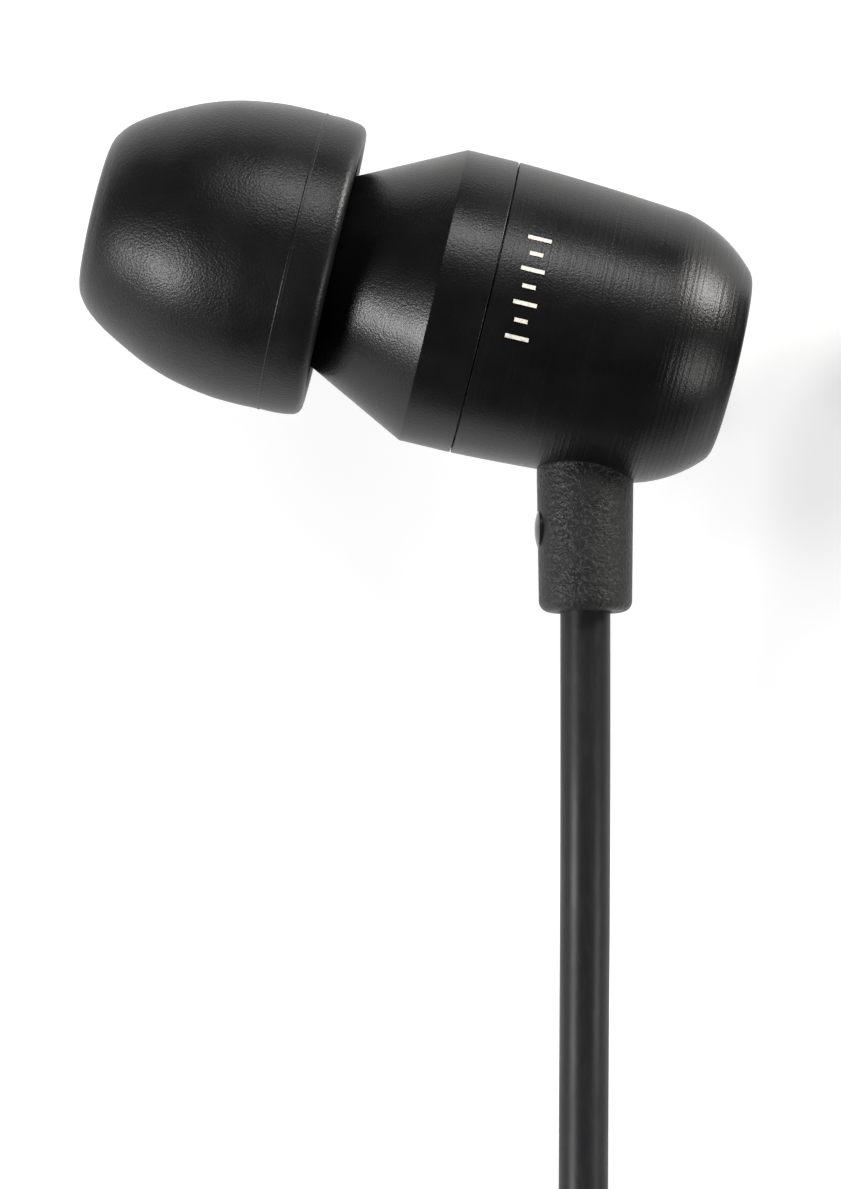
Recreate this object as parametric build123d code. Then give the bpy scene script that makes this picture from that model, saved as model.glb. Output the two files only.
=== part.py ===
from build123d import *
from math import atan, cos, pi, radians, sin, sqrt, tan
import os

# In-ear monitors: two identical earpieces on a Y cable with a 3.5 mm plug, laid on a table.
# Millimetres.  +Z is up, and the cables leave towards -Y.  The origin is on the table, under the
# middle of the two earpieces, which lie side by side with their tips outwards.
# An earpiece is built about its own X axis: x = 0 at the housing seam, negative towards the ear tip.

# ---- housing -------------------------------------------------------------------------------
SEAM_RADIUS = 6.14  # outside radius of both shells at the seam
BAND_LENGTH = 2.17  # straight band of the front shell
CONE_ANGLE = 26.5  # slope of the front cone, degrees
FRONT_LENGTH = 7.65  # seam to the front face of the cone
SHOULDER_AT = 7.2  # seam to the start of the rear shoulder
SHOULDER_DROP = 0.42  # the radius lost from the seam to the shoulder
SHOULDER_RADIUS = SEAM_RADIUS - SHOULDER_DROP
END_RADIUS = 3.86  # edge of the rear end face
END_AT = 10.40  # seam to that edge
END_CROWN = 0.25  # how far the end face stands out at its middle
END_CORNER = 0.35
SEAM_GAP = 0.10  # the fine open line between the shells
EDGE_BREAK = 0.06
REAR_WALL = 0.70
LAP_WALL = 0.67  # rear shell over the front shell's spigot
SPIGOT_FIT = 0.02
SPIGOT_RADIUS = SEAM_RADIUS - LAP_WALL - SPIGOT_FIT
SPIGOT_WALL = 0.37
SPIGOT_LENGTH = 1.2
SPIGOT_ROOM = 0.15  # past the spigot's end
BORE_RADIUS = SPIGOT_RADIUS - SPIGOT_WALL  # what the driver sits in
SEAT_AT = 2.30  # seam to the driver's seat in the front shell
SEAT_WIDTH = 0.85
FLANGE_ROOM = 0.55  # in front of the sound tube's flange

# ---- sound tube and ear tip -----------------------------------------------------------------
NOZZLE_RADIUS = 2.10
NOZZLE_BORE = 1.50
NOZZLE_LENGTH = 5.65  # from the cone's front face
BARB_RADIUS = NOZZLE_RADIUS + 0.40
BARB_LENGTH = 0.90
FLANGE_RADIUS = NOZZLE_RADIUS + 0.50
FLANGE_THICK = 0.40
NOZZLE_FIT = 0.02
MESH_RADIUS = NOZZLE_BORE + 0.40
MESH_THICK = 0.12
MESH_HOLE = 0.14
MESH_PITCH = 0.44
MESH_RINGS = 3
DAMPER_THICK = 1.4
DAMPER_DEPTH = 3.0  # behind the mesh
TIP_RADIUS = 6.25  # largest radius of the bell
TIP_LENGTH = 10.05  # rim to front lip
TIP_RIM_AT = 6.40  # seam to the rim
TIP_WALL = 0.75  # at the rim
TIP_OPENING = 2.25  # radius of the sound opening at the lip
TIP_STEM_WALL = 0.80
TIP_STEM_GAP = 0.35  # stem end to the cone's front face
TIP_FIT = 0.06  # the stretched stem over the barb

# ---- driver ----------------------------------------------------------------------------------
DRIVER_FIT = 0.08
DRIVER_RADIUS = BORE_RADIUS - DRIVER_FIT
GASKET_THICK = 0.30
COVER_THICK = 0.25
COVER_RIM = 0.50
RIM_WIDTH = 0.40
FRAME_RISE = 0.45  # frame's rim above its plate
FRAME_PLATE = 1.70
MAGNET_RADIUS = 2.20
MAGNET_THICK = 1.30
POLE_THICK = 0.50
POLE_RADIUS = MAGNET_RADIUS + 0.10
COIL_CLEAR = 0.15  # pole plate to coil
COIL_INSIDE = POLE_RADIUS + COIL_CLEAR
COIL_WALL = 0.20
COIL_LENGTH = 1.40
YOKE_CLEAR = 0.20  # coil to yoke
YOKE_WALL = 0.65
YOKE_FLOOR = 0.50
YOKE_RADIUS = COIL_INSIDE + COIL_WALL + YOKE_CLEAR + YOKE_WALL
DIAPHRAGM_THICK = 0.08
DIAPHRAGM_GAP = 0.15  # room each side of its rim
DOME_HEIGHT = 0.35
ROLL_HEIGHT = 0.28
VENT_SHARE = 0.318  # of the frame's open width, as the vents' radius
FELT_THICK = 0.30
BOARD_RADIUS = 2.40
BOARD_THICK = 0.40
SOLDER_RADIUS = 0.45

# ---- strain relief and cable -----------------------------------------------------------------
BOOT_AT = 4.25  # where its axis meets the housing axis
BOOT_LEAN = 13.25  # leans to the rear, degrees
BOOT_TOP_RADIUS = 1.99
BOOT_END_RADIUS = 1.915
BOOT_REACH = 11.62  # housing axis to its free end
BOOT_CORNER = 0.45
BOOT_FLANGE_RADIUS = 2.45
BOOT_FLANGE_THICK = 0.60
BOOT_FLANGE_AT = 3.80  # housing axis to the flange
BOOT_FIT = 0.02
MARK_RADIUS = 0.62  # small raised dot on its side
MARK_RISE = 0.12
MARK_FROM_END = 3.4
BRANCH_DIAMETER = 2.07
MAIN_DIAMETER = 2.40
CABLE_FIT = 0.02
FERRULE_RADIUS = 1.60
FERRULE_LENGTH = 1.00
CABLE_INSIDE = 2.60  # housing axis to the cable's inner end

# ---- how the pair lies -----------------------------------------------------------------------
TIP_UP = 2.2  # the tapered housing rests with its tip a little up, degrees
PAIR_X = 16.10  # middle of each earpiece from the origin


def ring(outer, inner, start, end):
    """A plain ring about X, from x = start to x = end."""
    disc = Circle(outer)
    if inner > 0:
        disc -= Circle(inner)
    return Pos(start, 0, 0) * (Rot(0, 90, 0) * extrude(disc, end - start))


def turned(*edges):
    """The solid made by turning a closed outline in the XY plane about X."""
    outline = make_face(Wire(Compound(list(edges)).edges()))
    return revolve(outline, Axis.X)


def outline_of(points):
    return Polyline(*points, close=True)


def cap_arc(rim_x, rim_radius, apex_x):
    """An arc from a rim to the axis, centred on the axis, so that it turns into a sphere."""
    height = abs(apex_x - rim_x)
    way = 1 if apex_x > rim_x else -1
    radius = (rim_radius**2 + height**2) / (2 * height)
    half = atan(rim_radius / (radius - height)) / 2
    middle = (apex_x - way * radius * (1 - cos(half)), radius * sin(half))
    return ThreePointArc((rim_x, rim_radius), middle, (apex_x, 0))


def cone_radius(x):
    """Outside radius of the front shell at x, which is negative."""
    return SEAM_RADIUS - max(0.0, -x - BAND_LENGTH) * tan(radians(CONE_ANGLE))


# ---- sub-parts of one earpiece ---------------------------------------------------------------

def front_shell():
    cone_end = -FRONT_LENGTH
    seat = -SEAT_AT
    flange_back = cone_end + FLANGE_THICK * 2
    body = turned(
        outline_of([
            (cone_end, 0),
            (cone_end, cone_radius(cone_end)),
            (-BAND_LENGTH, SEAM_RADIUS),
            (-SEAM_GAP / 2 - EDGE_BREAK, SEAM_RADIUS),
            (-SEAM_GAP / 2, SEAM_RADIUS - EDGE_BREAK),
            (-SEAM_GAP / 2, SPIGOT_RADIUS),
            (SPIGOT_LENGTH, SPIGOT_RADIUS),
            (SPIGOT_LENGTH, 0),
        ])
    )
    cavity = turned(
        outline_of([
            (SPIGOT_LENGTH + 1, 0),
            (SPIGOT_LENGTH + 1, BORE_RADIUS),
            (seat, BORE_RADIUS),
            (seat, BORE_RADIUS - SEAT_WIDTH),
            (flange_back + FLANGE_ROOM, FLANGE_RADIUS + NOZZLE_FIT),
            (flange_back, FLANGE_RADIUS + NOZZLE_FIT),
            (flange_back, NOZZLE_RADIUS + NOZZLE_FIT),
            (cone_end - 1, NOZZLE_RADIUS + NOZZLE_FIT),
            (cone_end - 1, 0),
        ])
    )
    return body - cavity


def rear_profile(inset):
    """The rear shell's outline from the seam to the end, moved in by inset."""
    start = SEAM_GAP / 2 if inset == 0 else SEAM_GAP / 2 - 1
    seam = SEAM_RADIUS - inset
    shoulder = SHOULDER_RADIUS - inset
    corner = END_RADIUS - inset * 0.6
    end = END_AT - inset
    middle_at = (SHOULDER_AT + END_AT) / 2 + 0.25 - inset * 0.5
    middle_radius = (SHOULDER_RADIUS + END_RADIUS) / 2 + 0.22 - inset * 0.9
    side = ThreePointArc(
        (start, seam),
        (SHOULDER_AT / 2, (seam + shoulder) / 2 + 0.055),
        (SHOULDER_AT - inset * 0.5, shoulder),
    )
    shoulder_arc = ThreePointArc(
        (SHOULDER_AT - inset * 0.5, shoulder), (middle_at, middle_radius), (end, corner)
    )
    face = cap_arc(end, corner, end + END_CROWN)
    back = Polyline((end + END_CROWN, 0), (start, 0), (start, seam))
    return turned(side, shoulder_arc, face, back)


def rear_shell():
    outer = rear_profile(0)
    circles = outer.edges().filter_by(GeomType.CIRCLE)
    outer = fillet(circles.filter_by_position(Axis.X, END_AT - 0.01, END_AT + 0.01), END_CORNER)
    seam = outer.edges().filter_by(GeomType.CIRCLE).filter_by_position(Axis.X, 0, SEAM_GAP)
    outer = chamfer(seam, EDGE_BREAK)
    shell = outer - rear_profile(REAR_WALL)
    shell -= ring(SPIGOT_RADIUS + SPIGOT_FIT, 0, -1, SPIGOT_LENGTH + SPIGOT_ROOM)
    return shell - boot_frame() * Pos(0, 0, BOOT_FLANGE_AT) * Cylinder(
        boot_radius(BOOT_FLANGE_AT) + BOOT_FIT, BOOT_REACH, align=(Align.CENTER, Align.CENTER, Align.MIN)
    )


def nozzle():
    back = -FRONT_LENGTH + FLANGE_THICK * 2
    front = -FRONT_LENGTH - NOZZLE_LENGTH
    counterbore = MESH_THICK * 2
    return turned(
        outline_of([
            (back + FLANGE_THICK, NOZZLE_BORE),
            (back + FLANGE_THICK, FLANGE_RADIUS),
            (back, FLANGE_RADIUS),
            (back, NOZZLE_RADIUS),
            (front + BARB_LENGTH, NOZZLE_RADIUS),
            (front + BARB_LENGTH * 0.6, BARB_RADIUS),
            (front + BARB_LENGTH * 0.3, BARB_RADIUS),
            (front, MESH_RADIUS + 0.22),
            (front, MESH_RADIUS),
            (front + counterbore, MESH_RADIUS),
            (front + counterbore, NOZZLE_BORE),
        ])
    )


def nozzle_mesh():
    front = -FRONT_LENGTH - NOZZLE_LENGTH + MESH_THICK
    disc = Circle(MESH_RADIUS - NOZZLE_FIT)
    holes = [Circle(MESH_HOLE)]
    for turn in range(1, MESH_RINGS + 1):
        holes += PolarLocations(MESH_PITCH * turn, 6 * turn) * Circle(MESH_HOLE)
    disc -= holes
    return Pos(front, 0, 0) * (Rot(0, 90, 0) * extrude(disc, MESH_THICK))


def nozzle_damper():
    front = -FRONT_LENGTH - NOZZLE_LENGTH + DAMPER_DEPTH
    return ring(NOZZLE_BORE - NOZZLE_FIT, 0, front, front + DAMPER_THICK)


def ear_tip():
    """A silicone bell on a stem, joined at the lip."""
    rim = -TIP_RIM_AT
    lip = rim - TIP_LENGTH
    stem_end = -FRONT_LENGTH - TIP_STEM_GAP
    stem_bore = BARB_RADIUS + TIP_FIT
    stem = stem_bore + TIP_STEM_WALL
    nozzle_front = -FRONT_LENGTH - NOZZLE_LENGTH
    outer = Spline(
        (rim - 0.30, TIP_RADIUS - 0.13),
        (rim - 2.42, TIP_RADIUS),
        (rim - 5.38, TIP_RADIUS - 0.32),
        (rim - 7.84, TIP_RADIUS - 1.29),
        (rim - 9.30, TIP_RADIUS - 2.20),
        (lip + 0.21, TIP_RADIUS - 2.88),
        tangents=[(-1, 0.10), (-0.22, -1)],
    )
    lip_arc = ThreePointArc(
        (lip + 0.21, TIP_RADIUS - 2.88), (lip, TIP_OPENING + 0.62), (lip + 0.30, TIP_OPENING + 0.12)
    )
    mouth = Polyline(
        (lip + 0.30, TIP_OPENING + 0.12),
        (lip + 0.75, TIP_OPENING),
        (nozzle_front - 0.45, TIP_OPENING),
        (nozzle_front - 0.45, stem_bore),
        (stem_end, stem_bore),
        (stem_end, stem),
        (lip + 3.6, stem),
    )
    inner = Spline(
        (lip + 3.6, stem),
        (rim - 5.30, TIP_RADIUS - 0.40 - TIP_WALL * 1.1),
        (rim - 0.10, TIP_RADIUS - 0.25 - TIP_WALL * 0.8),
        tangents=[(0.35, 1), (1, -0.02)],
    )
    rim_arc = ThreePointArc(
        (rim - 0.10, TIP_RADIUS - 0.25 - TIP_WALL * 0.8),
        (rim, TIP_RADIUS - 0.42),
        (rim - 0.30, TIP_RADIUS - 0.13),
    )
    return turned(outer, lip_arc, mouth, inner, rim_arc)


# Driver stations along X, from the seat in the front shell to the rear.
GASKET_AT = -SEAT_AT
COVER_AT = GASKET_AT + GASKET_THICK
RIM_END = COVER_AT + COVER_THICK + COVER_RIM
PLATE_AT = RIM_END + FRAME_RISE
DIAPHRAGM_AT = PLATE_AT - DIAPHRAGM_GAP - DIAPHRAGM_THICK
YOKE_AT = PLATE_AT + 0.55
MAGNET_END = YOKE_AT + MAGNET_THICK + POLE_THICK
YOKE_END = MAGNET_END + YOKE_FLOOR
FRAME_END = PLATE_AT + FRAME_PLATE
SURROUND_RADIUS = DRIVER_RADIUS - RIM_WIDTH - DIAPHRAGM_GAP


def driver_gasket():
    return ring(DRIVER_RADIUS, BORE_RADIUS - SEAT_WIDTH + 0.05, GASKET_AT, COVER_AT)


def driver_cover():
    plate = Circle(DRIVER_RADIUS) - Circle(0.6)
    plate -= PolarLocations(2.1, 6) * Circle(0.45)
    plate -= PolarLocations(3.5, 12) * Circle(0.30)
    disc = Pos(COVER_AT, 0, 0) * (Rot(0, 90, 0) * extrude(plate, COVER_THICK))
    rim = ring(DRIVER_RADIUS, DRIVER_RADIUS - RIM_WIDTH, COVER_AT + COVER_THICK, RIM_END)
    return disc + rim


def driver_frame():
    plate = Circle(DRIVER_RADIUS) - Circle(YOKE_RADIUS)
    vents_at = (YOKE_RADIUS + DRIVER_RADIUS - RIM_WIDTH) / 2
    vent_radius = (DRIVER_RADIUS - RIM_WIDTH - YOKE_RADIUS) * VENT_SHARE
    plate -= PolarLocations(vents_at, 4) * Circle(vent_radius)
    disc = Pos(PLATE_AT, 0, 0) * (Rot(0, 90, 0) * extrude(plate, FRAME_PLATE))
    return disc + ring(DRIVER_RADIUS, DRIVER_RADIUS - RIM_WIDTH, RIM_END, PLATE_AT)


def diaphragm():
    """A domed centre, a flat seat for the coil and a half-roll surround, one film thick."""
    dome = COIL_INSIDE - 0.05
    seat = COIL_INSIDE + COIL_WALL + 0.05
    roll_end = SURROUND_RADIUS - 0.25
    middle = (seat + roll_end) / 2
    back = DIAPHRAGM_AT + DIAPHRAGM_THICK
    front = DIAPHRAGM_AT
    return turned(
        cap_arc(back, dome, back - DOME_HEIGHT),
        Polyline((back, dome), (back, seat)),
        ThreePointArc((back, seat), (back - ROLL_HEIGHT, middle), (back, roll_end)),
        Polyline((back, roll_end), (back, SURROUND_RADIUS), (front, SURROUND_RADIUS), (front, roll_end)),
        ThreePointArc((front, roll_end), (front - ROLL_HEIGHT, middle), (front, seat)),
        Polyline((front, seat), (front, dome)),
        cap_arc(front, dome, front - DOME_HEIGHT),
        Polyline((front - DOME_HEIGHT, 0), (back - DOME_HEIGHT, 0)),
    )


def voice_coil():
    start = DIAPHRAGM_AT + DIAPHRAGM_THICK
    return ring(COIL_INSIDE + COIL_WALL, COIL_INSIDE, start, start + COIL_LENGTH)


def yoke():
    cup = ring(YOKE_RADIUS, YOKE_RADIUS - YOKE_WALL, YOKE_AT - 0.1, MAGNET_END)
    return cup + ring(YOKE_RADIUS, 0, MAGNET_END, YOKE_END)


def pole_plate():
    return ring(POLE_RADIUS, 0, YOKE_AT, YOKE_AT + POLE_THICK)


def magnet():
    return ring(MAGNET_RADIUS, 0, YOKE_AT + POLE_THICK, MAGNET_END)


def rear_felt():
    return ring(DRIVER_RADIUS - 0.1, YOKE_RADIUS + 0.1, FRAME_END, FRAME_END + FELT_THICK)


def terminal_board():
    board = ring(BOARD_RADIUS, 0, YOKE_END, YOKE_END + BOARD_THICK)
    for side in (-1, 1):
        pad = Pos(YOKE_END + BOARD_THICK, 0, side * BOARD_RADIUS / 2) * Sphere(SOLDER_RADIUS)
        board += pad - ring(BOARD_RADIUS * 2, 0, YOKE_END - 2, YOKE_END + BOARD_THICK / 2)
    return board


def boot_frame():
    """Local +Z runs down the strain relief from the housing axis; local +X faces the rear."""
    along = Vector(sin(radians(BOOT_LEAN)), -cos(radians(BOOT_LEAN)), 0)
    across = Vector(cos(radians(BOOT_LEAN)), sin(radians(BOOT_LEAN)), 0)
    return Location(Plane(origin=(BOOT_AT, 0, 0), x_dir=across, z_dir=along))


def boot_radius(t):
    """Outside radius of the strain relief t from the housing axis."""
    visible = BOOT_REACH - SEAM_RADIUS
    return BOOT_END_RADIUS + (BOOT_TOP_RADIUS - BOOT_END_RADIUS) * min(1, (BOOT_REACH - t) / visible)


def strain_relief():
    neck = BOOT_FLANGE_AT + BOOT_FLANGE_THICK
    profile = Polyline(
        (BRANCH_DIAMETER / 2 + CABLE_FIT, BOOT_FLANGE_AT),
        (BOOT_FLANGE_RADIUS, BOOT_FLANGE_AT),
        (BOOT_FLANGE_RADIUS, neck),
        (BOOT_TOP_RADIUS, neck),
        (BOOT_TOP_RADIUS, SEAM_RADIUS),
        (BOOT_END_RADIUS, BOOT_REACH),
        (BRANCH_DIAMETER / 2 + CABLE_FIT, BOOT_REACH),
        close=True,
    )
    body = revolve(Rot(90, 0, 0) * make_face(profile), Axis.Z)
    end = body.edges().filter_by(GeomType.CIRCLE).filter_by_position(Axis.Z, BOOT_REACH - 0.01, BOOT_REACH + 0.01)
    body = fillet(end.sort_by(SortBy.LENGTH)[-1], BOOT_CORNER)
    mark = Pos(-BOOT_END_RADIUS - MARK_RISE + MARK_RADIUS, 0, BOOT_REACH - MARK_FROM_END) * Sphere(MARK_RADIUS)
    keep = Pos(-BOOT_TOP_RADIUS, 0, BOOT_REACH - MARK_FROM_END) * Box(1.2, 2, 2)
    return boot_frame() * (body + (mark & keep))


def cable_ferrule():
    tube = Circle(FERRULE_RADIUS) - Circle(BRANCH_DIAMETER / 2)
    return boot_frame() * (Pos(0, 0, CABLE_INSIDE) * extrude(tube, FERRULE_LENGTH))


EARPIECE = {
    "ear_tip": ear_tip,
    "front_shell": front_shell,
    "rear_shell": rear_shell,
    "nozzle": nozzle,
    "nozzle_mesh": nozzle_mesh,
    "nozzle_damper": nozzle_damper,
    "driver_gasket": driver_gasket,
    "driver_cover": driver_cover,
    "driver_frame": driver_frame,
    "diaphragm": diaphragm,
    "voice_coil": voice_coil,
    "pole_plate": pole_plate,
    "magnet": magnet,
    "yoke": yoke,
    "rear_felt": rear_felt,
    "terminal_board": terminal_board,
    "cable_ferrule": cable_ferrule,
    "strain_relief": strain_relief,
}

OUTSIDE = ("ear_tip", "front_shell", "rear_shell", "strain_relief")


def lying(pieces, side):
    """The place of the left (side 1) or right (side -1) earpiece on the table.

    The right one is the left one turned over, so that it faces the other way.
    """
    heading = Rot(0, 0, 90 - side * (90 + BOOT_LEAN))
    turn = heading * Rot(0, TIP_UP, 0) * Rot(90 - side * 90, 0, 0)
    boxes = [(turn * pieces[name]).bounding_box() for name in OUTSIDE]
    middle_x = (min(b.min.X for b in boxes) + max(b.max.X for b in boxes)) / 2
    middle_y = (min(b.min.Y for b in boxes) + max(b.max.Y for b in boxes)) / 2
    lowest = min(b.min.Z for b in boxes)
    return Pos(-side * PAIR_X - middle_x, -middle_y, -lowest) * turn


# ---- cables ----------------------------------------------------------------------------------

def bend_radii(points):
    """Each corner's radius: 0.45 of its shorter run, over the tangent of half its turn."""
    runs = [b - a for a, b in zip(points, points[1:])]
    return [
        0.45 * min(a.length, b.length) / tan(radians(a.get_angle(b) / 2))
        for a, b in zip(runs, runs[1:])
    ]


def cable_tube(name, points, diameter):
    """A round cable along straight runs joined by tangent arcs."""
    points = [Vector(*p) for p in points]
    radii = bend_radii(points)
    path = FilletPolyline(*points, radius=radii)
    tube = sweep((path ^ 0) * Circle(diameter / 2), path=path)
    share = tube.volume / (pi * diameter**2 / 4 * path.length)
    turns = ", ".join(f"{r:.1f}" for r in radii)
    print(f"{name}: {path.length:.1f} mm, volume share {share:.4f}, radii {turns}")
    return tube


def coil_ring(centre, section):
    """The outer shape of a flat-wound coil: its section turned about a vertical axis."""
    outline = Rot(90, 0, 0) * make_face(Polyline(*section, close=True))
    return Pos(centre[0], centre[1], 0) * revolve(outline, Axis.Z)


def coil_section(mean_radius, columns, layers, diameter, nested):
    """Turns a diameter apart.  Nested, every second layer lies in the grooves, one turn narrower."""
    rise = diameter * (sqrt(3) / 2 if nested else 1)
    narrow_top = nested and layers % 2 == 0
    half_low = columns * diameter / 2
    half_top = (columns - narrow_top) * diameter / 2
    height = diameter + rise * (layers - 1)
    cut = diameter * 0.30
    shoulder = height - cut - rise * narrow_top
    corners = [
        (half_low - cut, 0),
        (half_low, cut),
        (half_low, shoulder),
        (half_top, height - cut),
        (half_top - cut, height),
    ]
    corners = list(dict.fromkeys(corners))
    outside = [(mean_radius + x, z) for x, z in corners]
    return outside + [(mean_radius - x, z) for x, z in reversed(corners)]


# Each branch cable drops from its strain relief, runs down the table into a coil of four turns,
# and leaves the coil for the splitter.  The two branches mirror each other.  The main cable goes
# from the splitter into its own coil, and from there to the plug.
BRANCH_COIL = ((-16.97, -52.0), 10.8)
BRANCH_COLUMNS = 2
BRANCH_LAYERS = 2
MAIN_COIL = ((-20.5, -95.45), 12.0)
MAIN_COLUMNS = 3
MAIN_LAYERS = 4

SPINE_X = 0.0  # middle of the splitter and the slider
CORD_SPACING = 2.60  # between the two cables there
SPINE_Z = 2.30
BRANCH_ROUTES = {
    "cable": [
        (-9.12, -1.52, 5.96),
        (-9.12, -16.50, 5.83),
        (-9.10, -30.80, 1.75),
        (-9.12, -38.20, 1.08),
        (-5.30, -45.80, 1.04),
        (-5.13, -52.00, 1.04),
    ],
    "cable_end": [
        (-5.13, -52.00, 3.10),
        (-5.01, -57.40, 2.95),
        (-1.45, -64.80, 2.40),
        (-1.33, -74.60, 2.31),
        (-1.31, -84.20, 2.30),
    ],
}
MAIN_ROUTES = {
    "main_cable": [
        (0.00, -92.00, 2.30),
        (0.01, -100.00, 2.29),
        (-3.63, -106.20, 1.60),
        (-9.83, -109.80, 1.25),
        (-16.20, -109.90, 1.20),
        (-20.50, -109.85, 1.20),
    ],
    "main_cable_end": [
        (-33.70, -95.45, 7.43),
        (-33.60, -89.40, 7.48),
        (-33.75, -83.20, 5.50),
        (-33.68, -77.40, 3.21),
        (-33.70, -71.80, 3.20),
    ],
}

# ---- slider and splitter ---------------------------------------------------------------------
SPLITTER_TOP = -82.2
SPLITTER_LENGTH = 13.0
SPLITTER_WIDTH = 7.0
SPLITTER_HEIGHT = 4.6
SPLITTER_WALL = 1.0
SPLITTER_CORNER = 1.4
SLIDER_LENGTH = 5.0
SLIDER_WIDTH = 7.6
SLIDER_HEIGHT = 4.2
SLIDER_FIT = 0.18
SLIDER_GAP = 0.2  # at rest, from the splitter


def along_y(sketch, start, length):
    """Extrudes a sketch drawn about the spine, from y = start towards -Y."""
    plane = Plane(origin=(SPINE_X, start, SPINE_Z), x_dir=(1, 0, 0), z_dir=(0, -1, 0))
    return plane.location * extrude(sketch, length)


def twin_bores(radius):
    return [Pos(side * CORD_SPACING / 2, 0) * Circle(radius) for side in (-1, 1)]


def splitter_shells():
    """Two snapped halves over the cable joint, parted at the cables' height."""
    block = along_y(
        RectangleRounded(SPLITTER_WIDTH, SPLITTER_HEIGHT, SPLITTER_CORNER), SPLITTER_TOP, SPLITTER_LENGTH
    )
    ends = [e for e in block.edges() if abs(e.center().Y - SPLITTER_TOP) < 0.01]
    ends += [e for e in block.edges() if abs(e.center().Y - SPLITTER_TOP + SPLITTER_LENGTH) < 0.01]
    block = fillet(ends, SPLITTER_CORNER * 0.4)
    hollow = along_y(
        Rectangle(SPLITTER_WIDTH - 2 * SPLITTER_WALL, SPLITTER_HEIGHT - 2 * SPLITTER_WALL),
        SPLITTER_TOP - SPLITTER_WALL * 2,
        SPLITTER_LENGTH - SPLITTER_WALL * 4,
    )
    block -= hollow
    for bore in twin_bores(BRANCH_DIAMETER / 2 + CABLE_FIT):
        block -= along_y(bore, SPLITTER_TOP + 1, SPLITTER_WALL * 2 + 2)
    main_bore = Circle(MAIN_DIAMETER / 2 + CABLE_FIT)
    block -= along_y(main_bore, SPLITTER_TOP - SPLITTER_LENGTH / 2, SPLITTER_LENGTH)
    upper = block & Pos(SPINE_X, SPLITTER_TOP, SPINE_Z) * Box(
        50, 50, 20, align=(Align.CENTER, Align.CENTER, Align.MIN)
    )
    return upper, block - upper


def cable_slider():
    block = along_y(
        RectangleRounded(SLIDER_WIDTH, SLIDER_HEIGHT, SLIDER_HEIGHT * 0.42),
        SPLITTER_TOP + SLIDER_GAP + SLIDER_LENGTH,
        SLIDER_LENGTH,
    )
    block = fillet([e for e in block.edges() if abs(e.tangent_at(0.5).Y) < 0.5], 0.5)
    for bore in twin_bores(BRANCH_DIAMETER / 2 + SLIDER_FIT):
        block -= along_y(bore, SPLITTER_TOP + SLIDER_LENGTH + 3, SLIDER_LENGTH + 5)
    return block


# ---- plug ------------------------------------------------------------------------------------
PLUG_X = -33.70
PLUG_Z = 3.20
PLUG_BACK = -74.5  # y of the relief's free end
CONTACT_RADIUS = 1.75
CONTACT_LENGTH = 14.0
TIP_CONTACT = 3.30
RING_CONTACT = 2.10
INSULATOR = 0.60
CORE_RADIUS = 0.85
CORE_BORE_FIT = 0.01
GRIP_LENGTH = 17.0
GRIP_RADIUS = 3.20
GRIP_FRONT_RADIUS = 2.70
RELIEF_LENGTH = 8.0
RELIEF_RADIUS = 2.00
RELIEF_END_RADIUS = 1.65
RELIEF_GROOVES = 4


def plug_place():
    """Local +X runs from the relief's free end to the contact's point."""
    return Pos(PLUG_X, PLUG_BACK, PLUG_Z) * Rot(0, 0, 90)


def plug_parts():
    grip_at = RELIEF_LENGTH
    contact_at = grip_at + GRIP_LENGTH
    point = contact_at + CONTACT_LENGTH
    tip_at = point - TIP_CONTACT
    ring_at = tip_at - INSULATOR - RING_CONTACT
    sleeve_end = ring_at - INSULATOR
    cable_radius = MAIN_DIAMETER / 2 + CABLE_FIT
    tip = turned(
        outline_of([
            (sleeve_end - 4, 0),
            (sleeve_end - 4, CORE_RADIUS * 0.6),
            (tip_at, CORE_RADIUS * 0.6),
            (tip_at, CONTACT_RADIUS),
            (tip_at + 0.35, CONTACT_RADIUS),
            (tip_at + 0.95, CONTACT_RADIUS * 0.70),
            (tip_at + 1.55, CONTACT_RADIUS * 0.98),
            (point - 0.70, CONTACT_RADIUS * 0.55),
            (point - 0.15, CONTACT_RADIUS * 0.30),
            (point, 0),
        ])
    )
    core = CORE_RADIUS * 0.6 + CORE_BORE_FIT
    sleeve = ring(CONTACT_RADIUS, core, grip_at + GRIP_LENGTH - 5, sleeve_end)
    sleeve += ring(GRIP_FRONT_RADIUS - 0.3, core, contact_at, contact_at + 0.6)
    grip = turned(
        outline_of([
            (grip_at, cable_radius),
            (grip_at, GRIP_RADIUS - 0.45),
            (grip_at + 0.45, GRIP_RADIUS),
            (contact_at - 3.0, GRIP_RADIUS),
            (contact_at - 0.4, GRIP_FRONT_RADIUS),
            (contact_at, GRIP_FRONT_RADIUS - 0.3),
            (contact_at, CONTACT_RADIUS + CORE_BORE_FIT),
            (contact_at - 5, CONTACT_RADIUS + CORE_BORE_FIT),
            (contact_at - 5, cable_radius),
        ])
    )
    relief = turned(
        outline_of([
            (0, cable_radius),
            (0, RELIEF_END_RADIUS),
            (RELIEF_LENGTH, RELIEF_RADIUS),
            (RELIEF_LENGTH, cable_radius),
        ])
    )
    pitch = RELIEF_LENGTH / (RELIEF_GROOVES + 1)
    for groove in range(RELIEF_GROOVES):
        at = pitch * (groove + 1)
        relief -= ring(RELIEF_RADIUS * 2, RELIEF_END_RADIUS - 0.18, at - 0.22, at + 0.22)
    return {
        "plug_tip": tip,
        "plug_front_insulator": ring(CONTACT_RADIUS, core, tip_at - INSULATOR, tip_at),
        "plug_ring": ring(CONTACT_RADIUS, core, ring_at, tip_at - INSULATOR),
        "plug_rear_insulator": ring(CONTACT_RADIUS, core, sleeve_end, ring_at),
        "plug_sleeve": sleeve,
        "plug_grip": grip,
        "plug_relief": relief,
    }


# ---- the whole assembly ----------------------------------------------------------------------

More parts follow.
